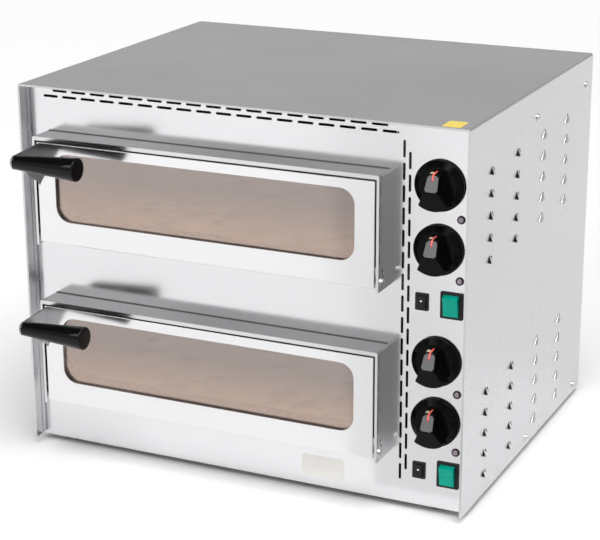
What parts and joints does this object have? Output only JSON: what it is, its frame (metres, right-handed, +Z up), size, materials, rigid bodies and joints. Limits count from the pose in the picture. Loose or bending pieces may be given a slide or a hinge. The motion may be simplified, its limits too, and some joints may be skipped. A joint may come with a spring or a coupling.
{
  "type": "countertop pizza oven",
  "caption": "Countertop electric pizza oven with stacked baking chambers, drop-down glazed doors, side-mounted grips, thermostat knobs and rocker switches in a stainless casing.",
  "frame": {"origin": "on the worktop under the feet, in the middle of the whole oven's footprint, handles and cable gland included", "axes": "+Z up, -Y out of the front with the doors, +X to the oven's right-hand side as seen from the front, where the controls are"},
  "size_m": [0.5594, 0.5404, 0.449],
  "materials": {
    "casing_steel": "satin stainless sheet",
    "front_steel": "bright polished stainless sheet",
    "surround_steel": "bright folded stainless sheet",
    "door_steel": "bright polished stainless sheet",
    "bracket_steel": "satin stainless plate",
    "liner_steel": "aluminised steel, heat tinted",
    "galvanised_steel": "galvanised sheet",
    "screw_steel": "zinc-plated, bright",
    "element_sheath": "dark oxidised sheath, satin",
    "thermostat_case": "moulded, matte",
    "fire_stone": "rough cordierite stone",
    "insulation_wool": "mineral wool blanket",
    "foot_rubber": "matte black",
    "lamp_glass": "clear heat-proof glass",
    "door_glass": "tinted tempered glass",
    "grip_black": "glossy black thermoset",
    "knob_black": "glossy black thermoset with a red pointer line",
    "switch_black": "semi-gloss black",
    "switch_green": "translucent green, glossy",
    "pilot_lens": "smoked lens in a dark rim",
    "terminal_ceramic": "unglazed ceramic",
    "black_nylon": "matte black nylon"
  },
  "bodies": {
    "root": {"outer_casing": "casing_steel", "front_panel": "front_steel", "rear_panel": "casing_steel", "base_tray": "galvanised_steel", "rubber_feet": "foot_rubber", "control_partition": "galvanised_steel", "insulation_jackets": "insulation_wool", "cable_gland": "black_nylon", "terminal_block": "terminal_ceramic", "casing_screws": "screw_steel", "lower_chamber_liner": "liner_steel", "lower_baking_stone": "fire_stone", "lower_floor_element": "element_sheath", "lower_roof_element": "element_sheath", "lower_chamber_lamp": "lamp_glass", "lower_door_surround": "surround_steel", "lower_hinge_pins": "screw_steel", "lower_floor_thermostat": "thermostat_case", "lower_floor_pilot_lamp": "pilot_lens", "lower_roof_thermostat": "thermostat_case", "lower_roof_pilot_lamp": "pilot_lens", "lower_main_switch_bezel": "switch_black", "lower_lamp_switch_bezel": "switch_black", "upper_chamber_liner": "liner_steel", "upper_baking_stone": "fire_stone", "upper_floor_element": "element_sheath", "upper_roof_element": "element_sheath", "upper_chamber_lamp": "lamp_glass", "upper_door_surround": "surround_steel", "upper_hinge_pins": "screw_steel", "upper_floor_thermostat": "thermostat_case", "upper_floor_pilot_lamp": "pilot_lens", "upper_roof_thermostat": "thermostat_case", "upper_roof_pilot_lamp": "pilot_lens", "upper_main_switch_bezel": "switch_black", "upper_lamp_switch_bezel": "switch_black"},
    "lower_floor_knob": {"lower_floor_knob": "knob_black", "lower_floor_knob_shaft": "screw_steel"},
    "lower_roof_knob": {"lower_roof_knob": "knob_black", "lower_roof_knob_shaft": "screw_steel"},
    "lower_door": {"lower_door_skin": "door_steel", "lower_door_inner_panel": "liner_steel", "lower_door_glass": "door_glass", "lower_handle_bracket": "bracket_steel", "lower_handle_grip": "grip_black", "lower_door_fixings": "screw_steel"},
    "lower_main_switch_key": {"lower_main_switch_key": "switch_green"},
    "lower_lamp_switch_key": {"lower_lamp_switch_key": "switch_black"},
    "upper_floor_knob": {"upper_floor_knob": "knob_black", "upper_floor_knob_shaft": "screw_steel"},
    "upper_roof_knob": {"upper_roof_knob": "knob_black", "upper_roof_knob_shaft": "screw_steel"},
    "upper_door": {"upper_door_skin": "door_steel", "upper_door_inner_panel": "liner_steel", "upper_door_glass": "door_glass", "upper_handle_bracket": "bracket_steel", "upper_handle_grip": "grip_black", "upper_door_fixings": "screw_steel"},
    "upper_main_switch_key": {"upper_main_switch_key": "switch_green"},
    "upper_lamp_switch_key": {"upper_lamp_switch_key": "switch_black"}
  },
  "joints": [
    {"name": "lower_door_hinge", "type": "hinge", "parent": "root", "child": "lower_door", "pos_m": [-0.03275, -0.19975, 0.074], "axis": [1, 0, 0], "range_deg": [0, 90]},
    {"name": "lower_floor_knob_turn", "type": "hinge", "parent": "root", "child": "lower_floor_knob", "pos_m": [0.2395, -0.17525, 0.1116], "axis": [0, 1, 0], "range_deg": [0, 300]},
    {"name": "lower_roof_knob_turn", "type": "hinge", "parent": "root", "child": "lower_roof_knob", "pos_m": [0.2395, -0.17525, 0.183], "axis": [0, 1, 0], "range_deg": [0, 300]},
    {"name": "lower_main_switch_rock", "type": "hinge", "parent": "root", "child": "lower_main_switch_key", "pos_m": [0.2556, -0.17575, 0.0503], "axis": [1, 0, 0], "range_deg": [-20, 0]},
    {"name": "lower_lamp_switch_rock", "type": "hinge", "parent": "root", "child": "lower_lamp_switch_key", "pos_m": [0.2212, -0.17555, 0.0503], "axis": [1, 0, 0], "range_deg": [0, 20]},
    {"name": "upper_door_hinge", "type": "hinge", "parent": "root", "child": "upper_door", "pos_m": [-0.03275, -0.19975, 0.273], "axis": [1, 0, 0], "range_deg": [0, 90]},
    {"name": "upper_floor_knob_turn", "type": "hinge", "parent": "root", "child": "upper_floor_knob", "pos_m": [0.2395, -0.17525, 0.3106], "axis": [0, 1, 0], "range_deg": [0, 300]},
    {"name": "upper_roof_knob_turn", "type": "hinge", "parent": "root", "child": "upper_roof_knob", "pos_m": [0.2395, -0.17525, 0.382], "axis": [0, 1, 0], "range_deg": [0, 300]},
    {"name": "upper_main_switch_rock", "type": "hinge", "parent": "root", "child": "upper_main_switch_key", "pos_m": [0.2556, -0.17575, 0.2493], "axis": [1, 0, 0], "range_deg": [-20, 0]},
    {"name": "upper_lamp_switch_rock", "type": "hinge", "parent": "root", "child": "upper_lamp_switch_key", "pos_m": [0.2212, -0.17555, 0.2493], "axis": [1, 0, 0], "range_deg": [0, 20]}
  ]
}
